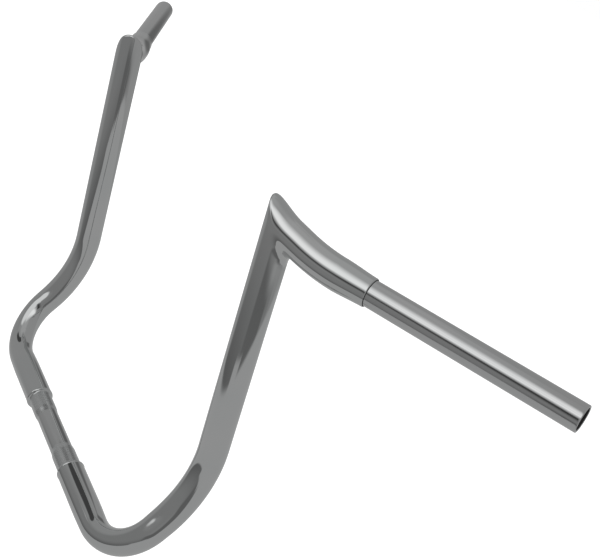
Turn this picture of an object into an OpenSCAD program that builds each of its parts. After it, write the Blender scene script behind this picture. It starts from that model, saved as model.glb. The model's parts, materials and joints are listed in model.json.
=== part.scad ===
// Tall motorcycle handlebar with mitred corners: a welded, polished and chromed steel bar.
// Millimetres. The origin is the middle of the clamp section, +X is the rider's right,
// +Y is forward and +Z is up. The right half is modelled, and mirrored for the left.

/* [Clamp section] */
// Diameter of the middle tube, held by the riser clamps
clamp_d = 25.4; // [22:0.1:28]
// Wall of the middle tube
clamp_wall = 3.2; // [2:0.1:5]
// Bare length of the middle tube between the step collars
clamp_run = 60; // [40:1:120]
// Length of a step collar, cone included
collar_len = 39; // [12:0.5:50]
// How far the collar stands above the middle tube, all round
collar_step = 1; // [0.5:0.1:2.5]
// Length of the cone at the collar's inner end
collar_cone = 6; // [1:0.5:8]
// How far the middle tube reaches into each riser
clamp_spigot = 22; // [10:1:60]

/* [Weld ring] */
// Width of the weld ring at the riser's lower end
ring_w = 5; // [3:0.5:8]
// Radius of the ring's round section
ring_section_r = 3; // [2.6:0.1:6]
// How far the ring stands above the riser, all round
ring_proud = 0.5; // [0.1:0.1:1.5]

/* [Riser] */
// Wall of the riser tube, around the bore that the middle tube fits
riser_wall = 3.175; // [2:0.025:6]
// Straight length from the weld ring to the first bend
lower_run = 83.5; // [20:0.5:160]
// Centre-line radius of the first bend
lower_bend_r = 60; // [40:1:120]
// Direction after the first bend, measured back from straight up
rake = 40.5; // [15:0.5:60]
// Straight length between the two bends
middle_run = 9; // [2:0.5:80]
// Centre-line radius of the second bend
upper_bend_r = 150; // [60:1:220]
// How far the leg leans in towards the other leg
leg_lean = 0.9; // [0:0.1:10]
// Straight length of the leg, from the second bend to the mitred corner
leg_run = 256; // [120:1:450]

/* [Elbow] */
// Direction of the grip, swept back from straight out
pullback = 30; // [5:0.5:50]
// Slope of the grip, down towards its end
grip_drop = 1.8; // [0:0.1:15]
// Straight length between the mitre's inner corner and the elbow's bend
elbow_run = 5.5; // [1:0.5:60]
// Angle that the elbow bends through
elbow_bend = 15; // [5:0.5:30]
// Centre-line radius of the elbow's bend
elbow_bend_r = 170; // [60:1:300]
// Length of the taper at the elbow's outer end
taper_len = 32; // [10:0.5:60]
// Wall of the elbow at its outer end
elbow_end_wall = 1.8; // [1.2:0.05:3]
// Radial size of the bead in the inner corner of the mitre
mitre_bead_r = 3; // [1.5:0.1:5]

/* [Grip tube] */
// Diameter of the grip tube
grip_d = 25.4; // [22:0.1:28]
// Wall of the grip tube
grip_wall = 2.1; // [1.5:0.1:5]
// Length of the grip tube outside the elbow
grip_run = 202; // [120:1:300]
// How far the grip tube reaches into the elbow
grip_spigot = 24; // [10:1:60]
// How far that hidden end is turned down, all round
grip_step = 0.4; // [0.3:0.1:0.8]
// Chamfer on the rim of the open end
rim_chamfer = 0.6; // [0.2:0.1:1]

/* [Hidden] */

$fn = 96;
// Radial clearance of the turned-down end of a tube that is slid into another before welding
slip = 0.05;
// A bend is a hair thinner than the straight tube, and the straight ends lap over it
hair = 0.05;
lap = 0.4;
chrome = [0.66, 0.67, 0.68];

// Radii and bores that follow from the tubes that fit inside one another
clamp_r = clamp_d / 2;
riser_bore_r = clamp_r;
riser_r = riser_bore_r + riser_wall;
collar_r = clamp_r + collar_step;
grip_r = grip_d / 2;
grip_bore_r = grip_r - grip_wall;
elbow_bore_r = grip_r - grip_step;
elbow_end_r = elbow_bore_r + elbow_end_wall;

// Places along the X axis
collar_x = clamp_run / 2;
riser_x = collar_x + collar_len;
bend_x = riser_x + lower_run;

function unit(v) = v / norm(v);
// The part of v that is square to the unit vector u, as a unit vector
function square_to(u, v) = unit(v - u * (u * v));
function angle_between(u, v) = acos(u * v);
// Where a bend ends that starts at p along u, turns towards v and has the centre-line radius r
function bend_end(p, u, v, r) =
    p + r * sin(angle_between(u, v)) * u + r * (1 - cos(angle_between(u, v))) * square_to(u, v);

// Directions of the straight stretches, from the middle outwards
outward = [1, 0, 0];
rake_dir = [0, -sin(rake), cos(rake)];
leg_dir = [-sin(leg_lean), 0, cos(leg_lean)];
grip_dir = [cos(grip_drop) * cos(pullback), -cos(grip_drop) * sin(pullback), -sin(grip_drop)];
elbow_dir = cos(elbow_bend) * grip_dir - sin(elbow_bend) * square_to(grip_dir, leg_dir);

// The mitre's plane halves the corner, and mitre_in points along it to the inner corner
mitre_dir = unit(leg_dir + elbow_dir);
mitre_in = square_to(mitre_dir, elbow_dir);
mitre_half_angle = angle_between(leg_dir, elbow_dir) / 2;
mitre_reach = riser_r * tan(mitre_half_angle);

// Points on the centre line
lower_bend_p = bend_x * outward;
middle_p = bend_end(lower_bend_p, outward, rake_dir, lower_bend_r);
upper_bend_p = middle_p + middle_run * rake_dir;
leg_p = bend_end(upper_bend_p, rake_dir, leg_dir, upper_bend_r);
corner_p = leg_p + leg_run * leg_dir;
elbow_bend_p = corner_p + (mitre_reach + elbow_run) * elbow_dir;
taper_p = bend_end(elbow_bend_p, elbow_dir, grip_dir, elbow_bend_r);
grip_p = taper_p + taper_len * grip_dir;

// Puts its children at p with their Z along z and their X as near to x as it can be
module place(p, z, x) {
    a = square_to(z, x);
    b = cross(z, a);
    multmatrix([
        [a[0], b[0], z[0], p[0]],
        [a[1], b[1], z[1], p[1]],
        [a[2], b[2], z[2], p[2]],
    ]) children();
}

// A solid round bar from p along u, longer at its ends by before and after
module bar(p, u, side, len, r, before = lap, after = lap) {
    place(p, u, side)
        translate([0, 0, -before]) cylinder(h = before + len + after, r = r);
}

// A solid round bar bent from u to v
module bent_bar(p, u, v, bend_r, r) {
    place(p, u, v)
        translate([bend_r, 0, 0])
            rotate([90, 0, 180])
                rotate_extrude(angle = angle_between(u, v))
                    translate([bend_r, 0]) circle(r = r - hair);
}

// Everything on one side of the mitre plane
module beyond_mitre(side) {
    size = 8 * riser_r;
    place(corner_p, side * mitre_dir, mitre_in)
        translate([-size / 2, -size / 2, 0]) cube(size);
}

// Ring about the X axis, from a profile drawn with its radius along X and its length along Y
module turned() {
    rotate([90, 0, 90]) rotate_extrude() children();
}

module mirrored() {
    mirror([1, 0, 0]) children();
}

module clamp_tube() {
    half = riser_x + clamp_spigot;
    bore_r = clamp_r - clamp_wall;
    color(chrome) turned()
        polygon([
            [bore_r, -half],
            [clamp_r - slip, -half],
            [clamp_r - slip, -riser_x],
            [clamp_r, -riser_x],
            [clamp_r, riser_x],
            [clamp_r - slip, riser_x],
            [clamp_r - slip, half],
            [bore_r, half],
        ]);
}

module step_collar() {
    color(chrome) turned()
        polygon([
            [clamp_r, collar_x],
            [collar_r, collar_x + collar_cone],
            [collar_r, riser_x],
            [clamp_r, riser_x],
        ]);
}

// The bead lies over the end of the collar, against the end face of the riser
module weld_ring() {
    color(chrome) turned() intersection() {
        translate([collar_r, riser_x - ring_w]) square([2 * ring_section_r, ring_w]);
        translate([riser_r + ring_proud - ring_section_r, riser_x - ring_w / 2])
            circle(r = ring_section_r);
    }
}

// The riser as a solid bar, used for its outside and, with a longer start, for its bore
module riser_bar(r, start) {
    bar(riser_x * outward, outward, rake_dir, lower_run, r, before = start);
    bent_bar(lower_bend_p, outward, rake_dir, lower_bend_r, r);
    bar(middle_p, rake_dir, leg_dir, middle_run, r);
    bent_bar(upper_bend_p, rake_dir, leg_dir, upper_bend_r, r);
    bar(leg_p, leg_dir, mitre_in, leg_run + mitre_reach, r);
}

module riser() {
    color(chrome) difference() {
        riser_bar(riser_r, 0);
        riser_bar(riser_bore_r, 1);
        beyond_mitre(1);
    }
}

// The elbow as a solid bar: a straight cut end, a bend, and an outer end that narrows to end_r
module elbow_bar(r, end_r, longer) {
    bar(corner_p, elbow_dir, grip_dir, mitre_reach + elbow_run, r, before = 2 * mitre_reach);
    bent_bar(elbow_bend_p, elbow_dir, grip_dir, elbow_bend_r, r);
    place(taper_p, grip_dir, leg_dir)
        rotate_extrude()
            polygon([
                [0, -lap],
                [r, -lap],
                [r, lap],
                [end_r, taper_len + longer],
                [0, taper_len + longer],
            ]);
}

module elbow() {
    color(chrome) difference() {
        elbow_bar(riser_r, elbow_end_r, 0);
        elbow_bar(elbow_bore_r, elbow_bore_r, 1);
        beyond_mitre(-1);
    }
}

// The mitre's edge is an ellipse, and the bead follows its sharp end in the inner corner
module mitre_bead() {
    edge_len = riser_r / cos(mitre_half_angle);
    edge_r = riser_r * cos(mitre_half_angle);
    color(chrome) difference() {
        place(corner_p + (edge_len - edge_r) * mitre_in, mitre_dir, mitre_in)
            rotate_extrude() translate([edge_r, 0]) circle(r = mitre_bead_r);
        bar(corner_p, leg_dir, mitre_in, 2 * mitre_reach, riser_r, before = 3 * mitre_reach);
        bar(corner_p, elbow_dir, grip_dir, 3 * mitre_reach, riser_r, before = 2 * mitre_reach);
    }
}

module grip_tube() {
    color(chrome)
        place(grip_p, grip_dir, leg_dir)
            rotate_extrude()
                polygon([
                    [grip_bore_r, -grip_spigot],
                    [elbow_bore_r - slip, -grip_spigot],
                    [elbow_bore_r - slip, 0],
                    [grip_r, 0],
                    [grip_r, grip_run - rim_chamfer],
                    [grip_r - rim_chamfer, grip_run],
                    [grip_bore_r + rim_chamfer, grip_run],
                    [grip_bore_r, grip_run - rim_chamfer],
                ]);
}

clamp_tube();
step_collar();  // right_step_collar
mirrored() step_collar();  // left_step_collar
weld_ring();  // right_weld_ring
mirrored() weld_ring();  // left_weld_ring
riser();  // right_riser
mirrored() riser();  // left_riser
elbow();  // right_elbow
mirrored() elbow();  // left_elbow
mitre_bead();  // right_mitre_bead
mirrored() mitre_bead();  // left_mitre_bead
grip_tube();  // right_grip_tube
mirrored() grip_tube();  // left_grip_tube
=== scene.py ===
"""Chromed motorcycle handlebar in a plain pale studio, seen from the rider's left, above and in front."""
import json
import math

import bmesh
import bpy
import numpy as np
from mathutils import Matrix, Vector


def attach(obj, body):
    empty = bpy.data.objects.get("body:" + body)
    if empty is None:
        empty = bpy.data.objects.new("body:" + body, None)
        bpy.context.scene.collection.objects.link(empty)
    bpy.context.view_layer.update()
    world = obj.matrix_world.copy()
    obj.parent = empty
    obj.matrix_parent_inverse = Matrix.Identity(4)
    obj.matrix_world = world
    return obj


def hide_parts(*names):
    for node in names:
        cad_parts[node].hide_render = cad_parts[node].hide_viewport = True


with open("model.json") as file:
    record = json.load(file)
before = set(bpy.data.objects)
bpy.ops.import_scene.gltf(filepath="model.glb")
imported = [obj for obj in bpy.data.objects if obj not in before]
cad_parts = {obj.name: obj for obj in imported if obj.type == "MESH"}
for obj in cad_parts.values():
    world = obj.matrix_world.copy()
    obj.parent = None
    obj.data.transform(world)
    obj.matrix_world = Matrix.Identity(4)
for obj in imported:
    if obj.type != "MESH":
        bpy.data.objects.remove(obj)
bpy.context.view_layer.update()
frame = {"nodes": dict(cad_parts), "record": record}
nodes = frame["nodes"]
scene = bpy.context.scene

# Camera, found by fitting the bar to the photograph's outline
CAMERA_AT = Vector((-0.8998, 0.3908, 0.7913))
CAMERA_AIM = Vector((0.0013, -0.2051, 0.2134))
CAMERA_ROLL = math.radians(16.9)
FRAME_WIDTH, FRAME_HEIGHT = 600, 560
FOCAL_PIXELS = 1027.9
OPTICAL_CENTRE = (250.5, 280.5)
SENSOR = 36.0
CLIP_NEAR, CLIP_FAR = 0.01, 50.0

# Studio: a floor of white paper, and a round tent of cards that only mirrors see
FLOOR_HEIGHT, FLOOR_SIZE = -0.6, 12.0
PAPER_LEVEL, PAPER_GLOW = 0.9, 0.3
TENT_RADIUS, TENT_SUBDIVISIONS = 0.9, 5
TENT_CENTRE = Vector((-0.05, 0.0, 0.35))

# Sizes of the bar, the same as in the part's source. MITRE_TO_BEND starts at the middle of the mitre.
CLAMP_HALF, RISER_X, LOWER_RUN = 0.030, 0.069, 0.0835
LOWER_BEND_R, UPPER_BEND_R, ELBOW_BEND_R = 0.060, 0.150, 0.170
RAKE, LEG_LEAN, PULLBACK = math.radians(40.5), math.radians(0.9), math.radians(30)
GRIP_DROP, ELBOW_BEND = math.radians(1.8), math.radians(15)
MIDDLE_RUN, LEG_RUN, MITRE_TO_BEND, TAPER_LEN = 0.009, 0.256, 0.02718, 0.032
GRIP_RUN, RIM_ROUND = 0.202, 0.0006
FAT_R, ELBOW_END_R, SLIM_R, COLLAR_R, BORE_R = 0.015875, 0.0141, 0.0127, 0.0137, 0.0106

# The corner is ground round: how far the rounding reaches over its crest and in its inner corner, and how
# much the weld on the crest stands up, from CREST_FROM to CREST_TO along the elbow
CREST_ROUND, FILLET_ROUND = 0.0035, 0.014
CREST_RISE, CREST_FROM, CREST_TO = 0.0042, 0.012, -0.022
# The first bend is a little flattened in its own plane, and the flattening fades out over this length
BEND_FLATTEN, FLATTEN_REACH = 0.0015, 0.030
# The elbow's rounded outer end, and the narrow joint between it and the grip tube, whose faces are painted
# near-black as shade
END_ROUND, JOINT_LINE, JOINT_SINK = 0.0012, 0.0008, 0.0001
# The grip tube's skin starts this far inside the elbow, and its bore is drawn from BORE_FROM to BORE_TO
# inside the open end. That end is cut out of square: over the last END_ZONE the rings lean by up to
# END_SKEW, so that they face END_FACES a little more.
GRIP_HIDDEN, BORE_FROM, BORE_TO = 0.002, 0.002, 0.080
END_ZONE, END_SKEW, END_FACES = 0.030, math.radians(4), np.array([0.45, 0.75, 0.48])
# The collar's cone, and the round weld bead between it and the riser: its section's radius, how high it
# stands above the axis, and the angle at which it leaves the collar
CONE_LEN = 0.010
BEAD_R, BEAD_TOP, BEAD_FOOT = 0.0021, 0.0163, math.radians(10)

# Points round a ring, and how far apart the rings stand on each stretch
AROUND = 128
LOWER_STEP, LOWER_BEND_STEP, MIDDLE_STEP, UPPER_BEND_STEP = 0.004, 0.0018, 0.002, 0.003
LEG_STEP, ELBOW_BEND_STEP = 0.006, 0.003
# The rings that go round the corner turn about a pivot this far from the middle of both tubes
FAN_PIVOT, FAN_RINGS = 0.0195, 110
TAPER_RINGS, LIP_RINGS, CONE_RINGS, COLLAR_RINGS, BEAD_RINGS = 24, 8, 16, 14, 18
GRIP_RINGS, END_RINGS, RIM_RINGS, BORE_RIM_RINGS, BORE_RINGS = 40, 20, 6, 5, 10
# The gap between two rows of rings that are spaced differently
RING_GAP = 0.002
# Where the search for the corner's skin starts and ends along a spoke, in tube radii, and how often it
# halves. A spoke that points to the pivot's side by more than SEARCH_TOWARDS ends level with the pivot.
SEARCH_FROM, SEARCH_TO, SEARCH_TOWARDS, HALVINGS = 0.1, 4, 0.3, 40
# The least distance between points that counts where normals are worked out
SAME_PLACE = 1e-9
# Rows of faces that have another material than the rest of their skin, counted from its last ring: painted
# shade in the elbow's joint and down the grip tube's bore, and plain chrome on the collar's bead
JOINT_SHADE_ROWS, BORE_SHADE_ROWS, BEAD_ROWS = 3, BORE_RINGS + 1, BEAD_RINGS

# Colours of the plating
BAR_TINT, GRIP_TINT, TURNED_TINT = (0.598, 0.605, 0.604), (0.585, 0.589, 0.591), (0.60, 0.61, 0.61)


def unit(v):
    """The vector v at length 1."""
    return v / np.linalg.norm(v)


def square_to(u, v):
    """The part of v that is square to u, as a unit vector."""
    return unit(v - u * (u @ v))


def ease(t):
    """0 below 0, 1 above 1, and a smooth step in between."""
    t = np.clip(t, 0.0, 1.0)
    return t * t * (3 - 2 * t)


def soft_least(u, v, reach):
    """The lesser of two numbers, rounded off where they differ by less than reach."""
    gap = (u - v) / reach
    # This quartic meets the plain difference at 1 with the same slope and the same curvature
    soft = np.where(np.abs(gap) < 1, 0.375 + 0.75 * gap**2 - 0.125 * gap**4, np.abs(gap))
    return (u + v - soft * reach) / 2


class HalfBar:
    """The right half of the bar, from the riser's lower end outwards, as rings of points."""

    def __init__(self):
        self.angles = np.linspace(0, 2 * math.pi, AROUND, endpoint=False)[:, None]
        self.out = np.array([1.0, 0.0, 0.0])
        self.rake = np.array([0.0, -math.sin(RAKE), math.cos(RAKE)])
        self.leg = np.array([-math.sin(LEG_LEAN), 0.0, math.cos(LEG_LEAN)])
        level = math.cos(GRIP_DROP)
        self.grip = np.array([level * math.cos(PULLBACK), -level * math.sin(PULLBACK), -math.sin(GRIP_DROP)])
        upward = square_to(self.grip, self.leg)
        self.elbow = math.cos(ELBOW_BEND) * self.grip - math.sin(ELBOW_BEND) * upward
        self.mitre = math.acos(self.leg @ self.elbow) / 2
        self.rings = []
        # Where the centre line has got to, its length so far, and the way to a ring's first point
        self.at, self.gone = RISER_X * self.out, 0.0
        self.side = np.array([0.0, -1.0, 0.0])

    def ring(self, centre, way, radius):
        """Adds a ring square to way; radius is a number, or a function of the directions round the ring."""
        self.side = square_to(way, self.side)
        spokes = np.cos(self.angles) * self.side + np.sin(self.angles) * np.cross(way, self.side)
        lengths = radius(spokes) if callable(radius) else radius
        self.rings.append(centre + np.reshape(lengths, (-1, 1)) * spokes)

    def straight(self, way, length, step, radius_at=None):
        """Rings along a straight, without its last."""
        count = max(1, math.ceil(length / step))
        for k in range(count):
            along = length * k / count
            radius = radius_at(self.gone + along, way) if radius_at else FAT_R
            self.ring(self.at + along * way, way, radius)
        self.at, self.gone = self.at + length * way, self.gone + length

    def bend(self, way, to, bend_r, step, radius_at=None):
        """Rings along a bend, without its last."""
        turn, inward, start = math.acos(way @ to), square_to(way, to), self.at
        count = math.ceil(bend_r * turn / step)
        for k in range(count + 1):
            angle = turn * k / count
            centre = start + bend_r * (math.sin(angle) * way + (1 - math.cos(angle)) * inward)
            facing = math.cos(angle) * way + math.sin(angle) * inward
            if k < count:
                radius = radius_at(self.gone + bend_r * angle, facing) if radius_at else FAT_R
                self.ring(centre, facing, radius)
        self.at, self.gone = centre, self.gone + bend_r * turn

    def flattened(self, gone, facing):
        """Radius near the first bend, after the length gone, where the centre line is facing this way."""
        end = LOWER_RUN + LOWER_BEND_R * math.acos(self.out @ self.rake)
        amount = BEND_FLATTEN * ease((gone - LOWER_RUN + FLATTEN_REACH) / (2 * FLATTEN_REACH))
        amount *= ease((end + FLATTEN_REACH - gone) / (2 * FLATTEN_REACH))
        in_plane = np.cross(unit(np.cross(self.out, self.rake)), facing)
        return lambda spokes: FAT_R - amount * (spokes @ in_plane) ** 2

    def corner(self):
        """Rings that turn round the mitred corner, each found where its spokes leave the rounded solid."""
        corner = self.at + FAN_PIVOT * math.tan(self.mitre) * self.leg
        inner, under = square_to(self.leg, self.elbow), -square_to(self.elbow, self.leg)
        axis = np.cross(self.leg, inner)
        pivot = self.at + FAN_PIVOT * inner

        def outside(p):
            """Whether points lie outside both tubes, with the corner rounded between them."""
            to_leg, to_elbow = (p - corner) @ inner, (p - corner) @ under
            weld_ends = ease((CREST_FROM - (p - corner) @ self.elbow) / (CREST_FROM - CREST_TO))
            to_elbow = to_elbow + CREST_RISE * weld_ends * ease(-to_elbow / FAT_R)
            inside = ease(0.5 + (to_leg + to_elbow) / (4 * FAT_R))
            reach = CREST_ROUND + (FILLET_ROUND - CREST_ROUND) * inside
            return np.hypot(soft_least(to_leg, to_elbow, reach), (p - corner) @ axis) > FAT_R

        def reach_of(spokes, centre, outward, deep):
            """How far spokes go until they leave the solid. None goes past the pivot."""
            towards = -(spokes @ outward)
            low = np.full(AROUND, SEARCH_FROM * FAT_R)
            to_pivot = deep / np.maximum(towards, SEARCH_TOWARDS)
            high = np.where(towards > SEARCH_TOWARDS, to_pivot, SEARCH_TO * FAT_R)
            for _ in range(HALVINGS):
                middle = (low + high) / 2
                far = outside(centre + middle[:, None] * spokes)
                low, high = np.where(far, low, middle), np.where(far, middle, high)
            return low

        for k in range(FAN_RINGS + 1):
            angle = 2 * self.mitre * k / FAN_RINGS
            outward = math.sin(angle) * self.leg - math.cos(angle) * inner
            way = math.cos(angle) * self.leg + math.sin(angle) * inner
            deep = FAN_PIVOT * (1 + (1 / math.cos(self.mitre) - 1) * math.sin(math.pi * k / FAN_RINGS) ** 2)
            centre = pivot + deep * outward
            self.ring(centre, way, lambda spokes: reach_of(spokes, centre, outward, deep))
        self.at = corner + MITRE_TO_BEND * self.elbow

    def elbow_end(self):
        """The elbow's taper, its rounded lip, and the joint line at its foot."""
        straight_part = TAPER_LEN - END_ROUND
        for t in np.linspace(0, 1, TAPER_RINGS + 1):
            radius = FAT_R + (ELBOW_END_R - FAT_R) * (ease(t) + t) / 2
            self.ring(self.at + straight_part * t * self.grip, self.grip, radius)
        for angle in np.linspace(0, math.pi / 2, LIP_RINGS + 1)[1:]:
            centre = self.at + (TAPER_LEN - END_ROUND * (1 - math.sin(angle))) * self.grip
            self.ring(centre, self.grip, ELBOW_END_R - END_ROUND * (1 - math.cos(angle)))
        self.ring(self.at + (TAPER_LEN + JOINT_LINE) * self.grip, self.grip, SLIM_R - JOINT_SINK)
        self.at = self.at + TAPER_LEN * self.grip

    def take_rings(self):
        """The rings so far as one array. The next skin starts with none."""
        rings, self.rings = np.array(self.rings), []
        return rings

    def bar_rings(self):
        """From the riser's lower end to the elbow's outer end."""
        self.straight(self.out, LOWER_RUN, LOWER_STEP, self.flattened)
        self.bend(self.out, self.rake, LOWER_BEND_R, LOWER_BEND_STEP, self.flattened)
        self.straight(self.rake, MIDDLE_RUN, MIDDLE_STEP, self.flattened)
        self.bend(self.rake, self.leg, UPPER_BEND_R, UPPER_BEND_STEP, self.flattened)
        self.straight(self.leg, LEG_RUN - FAN_PIVOT * math.tan(self.mitre), LEG_STEP)
        self.corner()
        self.bend(self.elbow, self.grip, ELBOW_BEND_R, ELBOW_BEND_STEP)
        self.elbow_end()
        return self.take_rings()

    def grip_rings(self):
        """The grip tube, over its rim and back down its bore."""
        zone, rim = GRIP_RUN - END_ZONE, GRIP_RUN - RIM_ROUND
        bore = np.linspace(GRIP_RUN - BORE_FROM, GRIP_RUN - BORE_TO, BORE_RINGS)
        profile = [(along, SLIM_R) for along in np.linspace(-GRIP_HIDDEN, zone - RING_GAP, GRIP_RINGS)]
        profile += [(along, SLIM_R) for along in np.linspace(zone, rim, END_RINGS)]
        for angle in np.linspace(0, math.pi / 2, RIM_RINGS + 1)[1:]:
            short, inward = 1 - math.sin(angle), 1 - math.cos(angle)
            profile.append((GRIP_RUN - RIM_ROUND * short, SLIM_R - RIM_ROUND * inward))
        for angle in np.linspace(0, math.pi / 2, BORE_RIM_RINGS):
            short, outward = 1 - math.cos(angle), 1 - math.sin(angle)
            profile.append((GRIP_RUN - RIM_ROUND * short, BORE_R + RIM_ROUND * outward))
        profile += [(along, BORE_R) for along in bore]

        leans_to, end = square_to(self.grip, END_FACES), self.at + GRIP_RUN * self.grip
        for along, radius in profile:
            self.ring(self.at + along * self.grip, self.grip, radius)
            near_end = ease((along - GRIP_RUN + END_ZONE) / END_ZONE)
            lean = near_end * math.tan(END_SKEW) * ((self.rings[-1] - end) @ leans_to)
            self.rings[-1] = self.rings[-1] - lean[:, None] * self.grip
        return self.take_rings()


def collar_rings():
    """The step collar with its long cone, and the weld bead between it and the riser."""
    riser_foot = math.asin(1 - (BEAD_TOP - FAT_R) / BEAD_R)
    bead_x = RISER_X - BEAD_R * math.cos(riser_foot)
    cone_end, collar_end = CLAMP_HALF + CONE_LEN, bead_x - BEAD_R
    plain = np.linspace(cone_end + RING_GAP, collar_end - RING_GAP / 2, COLLAR_RINGS)
    profile = []
    for t in np.linspace(0, 1, CONE_RINGS):
        profile.append((CLAMP_HALF + CONE_LEN * t, SLIM_R + (COLLAR_R - SLIM_R) * ease(t)))
    profile += [(x, COLLAR_R) for x in plain]
    for angle in np.linspace(math.pi - BEAD_FOOT, riser_foot, BEAD_RINGS):
        profile.append((bead_x + BEAD_R * math.cos(angle), BEAD_TOP - BEAD_R + BEAD_R * math.sin(angle)))
    turn = np.linspace(0, 2 * math.pi, AROUND, endpoint=False)
    x, r = np.array(profile).T[..., None]
    return np.stack(np.broadcast_arrays(x, -r * np.cos(turn), -r * np.sin(turn)), axis=2)


def ring_normals(rings):
    """A unit normal for each point of the rings, square to the ways round the ring and along the tube."""
    behind, ahead = np.diff(rings, axis=0)[:-1], np.diff(rings, axis=0)[1:]
    near, far = (np.maximum(np.linalg.norm(d, axis=2, keepdims=True), SAME_PLACE) for d in (behind, ahead))
    # The direction to each neighbour, where the nearer one counts for more
    along = np.empty_like(rings)
    along[1:-1] = (behind / near * far + ahead / far * near) / (near + far)
    along[0], along[-1] = rings[1] - rings[0], rings[-1] - rings[-2]
    across = np.roll(rings, -1, axis=1) - np.roll(rings, 1, axis=1)
    normals = np.cross(across, along).reshape(-1, 3)
    return normals / np.linalg.norm(normals, axis=1, keepdims=True)


def tube(name, rings, left, replaced, finish, last_rows, last_rows_material):
    """A skin over rings in place of CAD nodes, mirrored for the left. Its last rows take another material,
    such as painted shade.
    """
    points, normals = rings.reshape(-1, 3), ring_normals(rings)
    rows = len(rings) - 1
    k, j = np.meshgrid(np.arange(rows), np.arange(AROUND), indexing="ij")
    n = (j + 1) % AROUND
    corners = (k * AROUND + j, k * AROUND + n, (k + 1) * AROUND + n, (k + 1) * AROUND + j)
    faces = np.stack([c.ravel() for c in corners], axis=1)
    if left:
        points, normals, faces = points * (-1, 1, 1), normals * (-1, 1, 1), faces[:, ::-1]
    mesh = bpy.data.meshes.new(name)
    mesh.from_pydata(points.tolist(), [], faces.tolist())
    mesh.shade_smooth()
    mesh.normals_split_custom_set_from_vertices(normals.tolist())
    piece = bpy.data.objects.new(name, mesh)
    scene.collection.objects.link(piece)
    mesh.materials.append(finish)
    mesh.materials.append(last_rows_material)
    # For the bar and grip skins these last rows are painted shade
    in_last_rows = np.repeat(np.arange(rows) >= rows - last_rows, AROUND)
    mesh.polygons.foreach_set("material_index", in_last_rows.astype(np.int32))
    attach(piece, "root")
    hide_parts(*replaced)


def make_camera():
    """The photograph's camera, with its off-centre frame as a shift."""
    data = bpy.data.cameras.new("camera")
    camera = bpy.data.objects.new("camera", data)
    scene.collection.objects.link(camera)
    scene.camera = camera
    data.sensor_fit = "HORIZONTAL"
    data.sensor_width = SENSOR
    data.lens = FOCAL_PIXELS * SENSOR / FRAME_WIDTH
    data.shift_x = (FRAME_WIDTH / 2 - OPTICAL_CENTRE[0]) / FRAME_WIDTH
    data.shift_y = (OPTICAL_CENTRE[1] - FRAME_HEIGHT / 2) / FRAME_WIDTH
    data.clip_start, data.clip_end = CLIP_NEAR, CLIP_FAR
    look = (CAMERA_AIM - CAMERA_AT).to_track_quat("-Z", "Y").to_matrix().to_4x4()
    camera.matrix_world = Matrix.Translation(CAMERA_AT) @ look @ Matrix.Rotation(CAMERA_ROLL, 4, "Z")


def grey(level):
    """A neutral colour for a socket."""
    return (level, level, level, 1.0)


class Graph:
    """A small helper that adds nodes to a tree and joins them."""

    def __init__(self, tree):
        self.tree = tree
        tree.nodes.clear()

    def add(self, kind, inputs=None, **settings):
        """Adds a node. Its inputs are numbers and colours to set, or other nodes' sockets to join."""
        node = self.tree.nodes.new(kind)
        for name, value in settings.items():
            setattr(node, name, value)
        for name, value in (inputs or {}).items():
            socket = node.inputs[name]
            if isinstance(value, bpy.types.NodeSocket):
                self.tree.links.new(value, socket)
            else:
                socket.default_value = value
        return node

    def math(self, operation, a, b=0.0, c=0.0, clamp=False):
        """The result of a Math node."""
        numbers = {0: a, 1: b, 2: c}
        return self.add("ShaderNodeMath", numbers, operation=operation, use_clamp=clamp).outputs[0]

    def dot(self, a, way):
        """How far the vector a reaches in a direction."""
        node = self.add("ShaderNodeVectorMath", {0: a, 1: tuple(way)}, operation="DOT_PRODUCT")
        return node.outputs["Value"]

    def noise(self, scale, detail, roughness, **where):
        """Noise from 0 to 1 at a place (Vector), or along one number (W)."""
        inputs = {"Scale": scale, "Detail": detail, "Roughness": roughness, **where}
        dimensions = "1D" if "W" in where else "3D"
        return self.add("ShaderNodeTexNoise", inputs, noise_dimensions=dimensions).outputs[0]

    def smooth(self, value, low, high):
        """0 below low and 1 above high, or the other way round where low is the larger."""
        ends = {"Value": value, "From Min": low, "From Max": high, "To Min": 0.0, "To Max": 1.0}
        return self.add("ShaderNodeMapRange", ends, interpolation_type="SMOOTHSTEP").outputs[0]

    def mix(self, factor, a, b):
        """The number a, or b where the factor is 1."""
        return self.add("ShaderNodeMix", {0: factor, 2: a, 3: b}, data_type="FLOAT").outputs[0]

    def mix_colour(self, factor, a, b):
        """The colour a, or b where the factor is 1."""
        return self.add("ShaderNodeMix", {0: factor, 6: a, 7: b}, data_type="RGBA").outputs[2]


def new_material(name):
    """A material with an empty node graph."""
    material = bpy.data.materials.new(name)
    material.use_nodes = True
    return material, Graph(material.node_tree)


def angle_round_grip(g, place, half):
    """The angle round the grip tubes' axis, with the left side folded onto the right."""
    axes = g.add("ShaderNodeSeparateXYZ", {0: place})
    across = g.math("ABSOLUTE", axes.outputs[0])
    folded = g.add("ShaderNodeCombineXYZ", {0: across, 1: axes.outputs[1], 2: axes.outputs[2]}).outputs[0]
    on_axis = tuple(half.at)
    from_axis = g.add("ShaderNodeVectorMath", {0: folded, 1: on_axis}, operation="SUBTRACT").outputs[0]
    up = square_to(half.grip, half.leg)
    rise, sideways = (g.dot(from_axis, way) for way in (up, np.cross(up, half.grip)))
    return g.math("ARCTAN2", sideways, rise)


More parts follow.
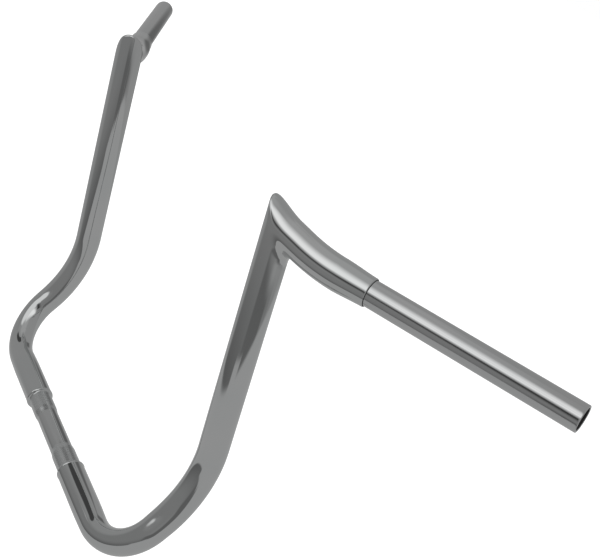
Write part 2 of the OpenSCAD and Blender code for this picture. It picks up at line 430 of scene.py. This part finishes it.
def chrome(name, tint, roughness, grain, half=None, lines=0.0):
    """Polished chrome: a faint cloudiness, and where half a bar is given, fine lines along its grips."""
    material, g = new_material(name)
    place = g.add("ShaderNodeTexCoord").outputs["Object"]
    cloud = g.noise(scale=14.0, detail=3.0, roughness=0.55, Vector=place)
    fine = g.noise(scale=900.0, detail=2.0, roughness=0.6, Vector=place)
    deep = (tint[0] * 0.97, tint[1] * 0.98, tint[2] * 0.98, 1.0)
    colour = g.mix_colour(g.smooth(cloud, 0.35, 0.65), (*tint, 1.0), deep)
    rough = g.math("MULTIPLY_ADD", fine, grain, roughness)
    if half:
        around = g.noise(scale=14.0, detail=4.0, roughness=0.7, W=angle_round_grip(g, place, half))
        dark = (*(channel * (1 - lines) for channel in tint), 1.0)
        colour = g.mix_colour(g.smooth(around, 0.45, 0.75), colour, dark)
        rough = g.math("MULTIPLY_ADD", around, lines * 0.5, rough)
    shader = g.add("ShaderNodeBsdfPrincipled", {"Base Color": colour, "Metallic": 1.0, "Roughness": rough})
    g.add("ShaderNodeOutputMaterial", {"Surface": shader.outputs[0]})
    return material


def painted_shade_steel(name):
    """Near-black painted shade, as dull steel, down the grip tube's bore and in the elbow's joint."""
    material, g = new_material(name)
    place = g.add("ShaderNodeTexCoord").outputs["Object"]
    mottle = g.noise(scale=260.0, detail=3.0, roughness=0.6, Vector=place)
    # Painted shade: two near-black greys stand in for the shade in the bore and the joint
    colour = g.mix_colour(mottle, (0.010, 0.010, 0.011, 1.0), (0.030, 0.030, 0.031, 1.0))
    shader = g.add("ShaderNodeBsdfPrincipled", {"Base Color": colour, "Metallic": 0.3, "Roughness": 0.7})
    g.add("ShaderNodeOutputMaterial", {"Surface": shader.outputs[0]})
    return material


def make_floor():
    """White paper under the bar, which glows a little where it is seen and keeps the shadow."""
    mesh = bpy.data.meshes.new("floor")
    reach = FLOOR_SIZE / 2
    corners = [(reach * x, reach * y, FLOOR_HEIGHT) for x, y in ((-1, -1), (1, -1), (1, 1), (-1, 1))]
    mesh.from_pydata(corners, [], [(0, 1, 2, 3)])
    floor = bpy.data.objects.new("floor", mesh)
    scene.collection.objects.link(floor)
    material, g = new_material("floor_paper")
    paper = g.add("ShaderNodeBsdfDiffuse", {"Color": grey(PAPER_LEVEL)})
    path = g.add("ShaderNodeLightPath")
    seen = g.math("ADD", path.outputs["Is Camera Ray"], path.outputs["Is Glossy Ray"], clamp=True)
    seen = g.math("ADD", seen, path.outputs["Is Transmission Ray"], clamp=True)
    strength = g.math("MULTIPLY", seen, PAPER_GLOW)
    glow = g.add("ShaderNodeEmission", {"Color": grey(1.0), "Strength": strength})
    both = g.add("ShaderNodeAddShader", {0: paper.outputs[0], 1: glow.outputs[0]})
    g.add("ShaderNodeOutputMaterial", {"Surface": both.outputs[0]})
    mesh.materials.append(material)


def make_world():
    """Even white light from all round."""
    world = bpy.data.worlds.new("studio")
    scene.world = world
    world.use_nodes = True
    g = Graph(world.node_tree)
    background = g.add("ShaderNodeBackground", {"Color": grey(1.0), "Strength": 1.0})
    g.add("ShaderNodeOutputWorld", {"Surface": background.outputs[0]})


# What the chrome mirrors. A scratch script fitted the first eleven cards to the photograph's reflections, and
# 46 of the 98 numbers that it found are still its results, rounded. So are BASE_LEVEL, TABLE_LEVEL and
# TABLE_EDGE_MEAN. The other numbers were changed, and left_corner and table_corner were added.
# Each row is one card, with all angles in degrees: its name, its left and right edge in azimuth (0 along +Y
# and 90 along +X), the height above the horizon of its lower edge at its left and right, that of its upper
# edge, how soft its sides, lower edge and upper edge are, and how bright it is. A later card stands in front
# of an earlier one.
CARDS = [
    ("ceiling", (-181, 181), (64, 54), (91, 91), (1, 20, 1), 0.48),
    ("right_wall", (48, 123), (-34, -20), (25, 42), (5, 5, 4), 0.36),
    ("back_wall", (-67, 48), (-60, -60), (-6, 20), (24, 8, 12), 0.27),
    ("back_wall_foot", (-60, 53), (-60, -60), (-33, -38), (24, 22, 35), 0.11),
    ("left_glow", (-94, -59), (-25, -29), (20, -3), (24, 11, 46), 0.28),
    ("left_wall_foot", (-130, -55), (-38, -36), (-22, -20), (12, 3, 4), 0.16),
    ("softbox", (-88, -18), (18, 32), (53, 74), (24, 16, 46), 1.2),
    ("softbox_far_half", (-24, 41), (9.2, 6.5), (71, 54), (7, 3, 22), 0.95),
    ("softbox_rim", (-67, -12), (-3, 14), (15, 22), (10, 20, 8), 0.05),
    ("flag", (58, 104), (23, 34), (40, 49), (8, 3, 3), 0.07),
    ("right_post", (122, 136), (-22, -16), (18, 24), (6, 10, 14), 0.16),
    ("left_corner", (-150, -114), (-30.5, -29), (-22, -22), (10, 1.6, 12), 0.29),
    ("table_corner", (-71, -43), (-60, -60), (-31, -34.5), (7, 2, 1.6), 0.44),
]
BASE_LEVEL = 0.385
# The table below the horizon, whose edge is lowest at the azimuth TABLE_EDGE_TURN
TABLE_LEVEL = 0.445
TABLE_EDGE_MEAN, TABLE_EDGE_SWING, TABLE_EDGE_TURN = -34.5, -10.0, 28.0
TABLE_EDGE_SOFT = 1.6


def card_mask(g, azimuth, height, sides, edges, softness):
    """1 on a card and 0 beside it, with soft edges."""
    left, right = sides
    side_soft, low_soft, high_soft = softness
    mask = g.smooth(azimuth, left - side_soft / 2, left + side_soft / 2)
    mask = g.math("MULTIPLY", mask, g.smooth(azimuth, right + side_soft / 2, right - side_soft / 2))
    for (at_left, at_right), soft in zip(edges, (low_soft, -high_soft)):
        slope = (at_right - at_left) / (right - left)
        edge = g.math("MULTIPLY_ADD", azimuth, slope, at_left - slope * left)
        above = g.math("SUBTRACT", height, edge)
        mask = g.math("MULTIPLY", mask, g.smooth(above, -soft / 2, soft / 2))
    return mask


def make_tent():
    """Grey and white cards all round, which only mirrors see."""
    mesh = bpy.data.meshes.new("studio_cards")
    tent = bpy.data.objects.new("studio_cards", mesh)
    shell = bmesh.new()
    bmesh.ops.create_icosphere(shell, subdivisions=TENT_SUBDIVISIONS, radius=TENT_RADIUS)
    shell.to_mesh(mesh)
    shell.free()
    tent.location = TENT_CENTRE
    scene.collection.objects.link(tent)
    tent.visible_camera = tent.visible_diffuse = tent.visible_shadow = False
    tent.visible_transmission = tent.visible_volume_scatter = False
    material, g = new_material("studio_cards")
    material.cycles.emission_sampling = "NONE"
    place = g.add("ShaderNodeTexCoord").outputs["Object"]
    way = g.add("ShaderNodeVectorMath", {0: place}, operation="NORMALIZE").outputs[0]
    axes = g.add("ShaderNodeSeparateXYZ", {0: way})
    x, y, z = axes.outputs[0], axes.outputs[1], axes.outputs[2]
    azimuth = g.math("MULTIPLY", g.math("ARCTAN2", x, y), math.degrees(1))
    height = g.math("MULTIPLY", g.math("ARCSINE", z), math.degrees(1))
    level = BASE_LEVEL
    for name, sides, low_edge, high_edge, softness, bright in CARDS:
        mask = card_mask(g, azimuth, height, sides, (low_edge, high_edge), softness)
        level = g.mix(mask, level, bright)
        level.node.label = name
    turn = g.math("COSINE", g.math("RADIANS", g.math("SUBTRACT", azimuth, TABLE_EDGE_TURN)))
    edge = g.math("MULTIPLY_ADD", turn, TABLE_EDGE_SWING, TABLE_EDGE_MEAN)
    below = g.smooth(g.math("SUBTRACT", height, edge), TABLE_EDGE_SOFT / 2, -TABLE_EDGE_SOFT / 2)
    level = g.mix(below, level, TABLE_LEVEL)
    glow = g.add("ShaderNodeEmission", {"Color": grey(1.0), "Strength": level})
    g.add("ShaderNodeOutputMaterial", {"Surface": glow.outputs[0]})
    mesh.materials.append(material)


scene.view_settings.view_transform = "Standard"
make_camera()
make_world()
make_floor()
make_tent()

right_half = HalfBar()
bar, grip, collar = right_half.bar_rings(), right_half.grip_rings(), collar_rings()
FINISHES = {
    "chrome": chrome("bar_chrome", BAR_TINT, roughness=0.04, grain=0.02),
    "collar_chrome": chrome("clamp_chrome", BAR_TINT, roughness=0.05, grain=0.02),
    "grip_chrome": chrome("grip_chrome", GRIP_TINT, roughness=0.06, grain=0.03, half=right_half, lines=0.12),
}
TURNED = chrome("turned_chrome", TURNED_TINT, roughness=0.24, grain=0.06)
# Painted shade for the elbow's joint and the grip tube's bore
PAINTED_SHADE = painted_shade_steel("painted_shade_dark")
slots = {part["node"]: part["material_slot"] for part in frame["record"]["subparts"]}
for name, node in nodes.items():
    node.data.materials.clear()
    node.data.materials.append(FINISHES[slots[name]])

for side in ("right", "left"):
    left = side == "left"
    welded = [f"{side}_riser", f"{side}_elbow", f"{side}_mitre_bead"]
    slim = [f"{side}_grip_tube"]
    turned = [f"{side}_step_collar", f"{side}_weld_ring"]
    # The bar skin's joint rows and the grip skin's bore rows are painted shade
    tube(f"{side}_bar_skin", bar, left, welded, FINISHES["chrome"], JOINT_SHADE_ROWS, PAINTED_SHADE)
    tube(f"{side}_grip_skin", grip, left, slim, FINISHES["grip_chrome"], BORE_SHADE_ROWS, PAINTED_SHADE)
    tube(f"{side}_collar_skin", collar, left, turned, TURNED, BEAD_ROWS, FINISHES["chrome"])
